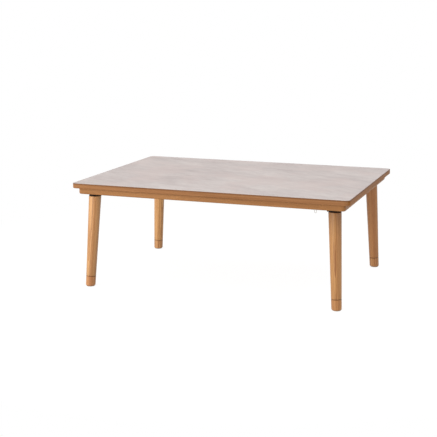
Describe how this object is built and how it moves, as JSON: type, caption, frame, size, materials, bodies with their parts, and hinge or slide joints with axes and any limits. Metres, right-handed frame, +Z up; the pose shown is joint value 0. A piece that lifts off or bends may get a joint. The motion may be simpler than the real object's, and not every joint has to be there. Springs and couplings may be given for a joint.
{
  "type": "kotatsu table",
  "caption": "Low rectangular kotatsu table: loose mortar-look top on a thin wood frame, under-slung heater, splayed folding legs with screw-on extension feet.",
  "frame": {"origin": "centre of the table's footprint, on the floor", "axes": "+X along the long side, -Y towards the front rail with the cord hook, +Z up"},
  "size_m": [1.05, 0.75, 0.4],
  "materials": {
    "mortar_laminate": "matt mottled mortar-look laminate",
    "edge_wood": "wood-grain edge band, satin",
    "board": "particle board",
    "backing": "plain backing sheet",
    "frame_wood": "satin oak-tone rail",
    "inner_wood": "bare softwood",
    "leg_wood": "satin oak-tone turned leg",
    "black_steel": "black powder coat",
    "spring_steel": "bright spring steel",
    "zinc_steel": "zinc plated",
    "soft_pad": "soft dark pad",
    "glide_plastic": "tan plastic glide",
    "housing_steel": "galvanised tray",
    "reflector_bright": "bright reflector",
    "quartz": "red-brown quartz tube",
    "ceramic": "white ceramic",
    "guard_wire": "black coated wire",
    "motor_case": "dark motor case",
    "fan_metal": "pressed aluminium fan",
    "black_plastic": "black moulded plastic",
    "grey_plastic": "pale grey moulded plastic"
  },
  "bodies": {
    "frame": {"front_rail": "frame_wood", "back_rail": "frame_wood", "left_rail": "frame_wood", "right_rail": "frame_wood", "frame_dowels": "inner_wood", "left_crossbar": "inner_wood", "right_crossbar": "inner_wood", "crossbar_screws": "zinc_steel", "tabletop_pads": "soft_pad", "leg_pivot_pins": "black_steel", "base_plate_screws": "zinc_steel", "heater_housing": "housing_steel", "heater_reflector": "reflector_bright", "heating_tubes": "quartz", "tube_holders": "ceramic", "heater_guard": "guard_wire", "fan_motor": "motor_case", "thermostat": "black_plastic", "cord_inlet": "black_plastic", "heater_screws": "zinc_steel", "cord_hook": "grey_plastic", "cord_hook_screws": "zinc_steel", "front_left_base_plate": "black_steel", "front_left_catch_spring": "spring_steel", "front_right_base_plate": "black_steel", "front_right_catch_spring": "spring_steel", "back_left_base_plate": "black_steel", "back_left_catch_spring": "spring_steel", "back_right_base_plate": "black_steel", "back_right_catch_spring": "spring_steel"},
    "tabletop": {"tabletop_core": "board", "tabletop_face": "mortar_laminate", "tabletop_backing": "backing", "tabletop_edge_band": "edge_wood"},
    "fan": {"heater_fan": "fan_metal", "fan_shaft": "zinc_steel"},
    "front_left_leg_unit": {"front_left_leg": "leg_wood", "front_left_folding_bracket": "black_steel", "front_left_insert_nut": "zinc_steel"},
    "front_left_foot_unit": {"front_left_extension_foot": "leg_wood", "front_left_foot_bolt": "zinc_steel", "front_left_glide": "glide_plastic"},
    "front_right_leg_unit": {"front_right_leg": "leg_wood", "front_right_folding_bracket": "black_steel", "front_right_insert_nut": "zinc_steel"},
    "front_right_foot_unit": {"front_right_extension_foot": "leg_wood", "front_right_foot_bolt": "zinc_steel", "front_right_glide": "glide_plastic"},
    "back_left_leg_unit": {"back_left_leg": "leg_wood", "back_left_folding_bracket": "black_steel", "back_left_insert_nut": "zinc_steel"},
    "back_left_foot_unit": {"back_left_extension_foot": "leg_wood", "back_left_foot_bolt": "zinc_steel", "back_left_glide": "glide_plastic"},
    "back_right_leg_unit": {"back_right_leg": "leg_wood", "back_right_folding_bracket": "black_steel", "back_right_insert_nut": "zinc_steel"},
    "back_right_foot_unit": {"back_right_extension_foot": "leg_wood", "back_right_foot_bolt": "zinc_steel", "back_right_glide": "glide_plastic"}
  },
  "joints": [
    {"name": "tabletop_lift", "type": "slide", "parent": "frame", "child": "tabletop", "axis": [0, 0, 1], "range_m": [0, 0.1]},
    {"name": "front_left_leg_fold", "type": "hinge", "parent": "frame", "child": "front_left_leg_unit", "pos_m": [-0.4375, -0.309, 0.3515], "axis": [0, -1, 0], "range_deg": [0, 93]},
    {"name": "front_left_foot_unscrew", "type": "slide", "parent": "front_left_leg_unit", "child": "front_left_foot_unit", "axis": [-0.0529, -0.0571, -0.997], "range_m": [0, 0.03]},
    {"name": "front_right_leg_fold", "type": "hinge", "parent": "frame", "child": "front_right_leg_unit", "pos_m": [0.4375, -0.309, 0.3515], "axis": [0, 1, 0], "range_deg": [0, 93]},
    {"name": "front_right_foot_unscrew", "type": "slide", "parent": "front_right_leg_unit", "child": "front_right_foot_unit", "axis": [0.0529, -0.0571, -0.997], "range_m": [0, 0.03]},
    {"name": "back_left_leg_fold", "type": "hinge", "parent": "frame", "child": "back_left_leg_unit", "pos_m": [-0.4375, 0.309, 0.3515], "axis": [0, -1, 0], "range_deg": [0, 93]},
    {"name": "back_left_foot_unscrew", "type": "slide", "parent": "back_left_leg_unit", "child": "back_left_foot_unit", "axis": [-0.0529, 0.0571, -0.997], "range_m": [0, 0.03]},
    {"name": "back_right_leg_fold", "type": "hinge", "parent": "frame", "child": "back_right_leg_unit", "pos_m": [0.4375, 0.309, 0.3515], "axis": [0, 1, 0], "range_deg": [0, 93]},
    {"name": "back_right_foot_unscrew", "type": "slide", "parent": "back_right_leg_unit", "child": "back_right_foot_unit", "axis": [0.0529, 0.0571, -0.997], "range_m": [0, 0.03]},
    {"name": "fan_spin", "type": "hinge", "parent": "frame", "child": "fan", "pos_m": [0, 0, 0.3545], "axis": [0, 0, 1], "continuous": true}
  ]
}
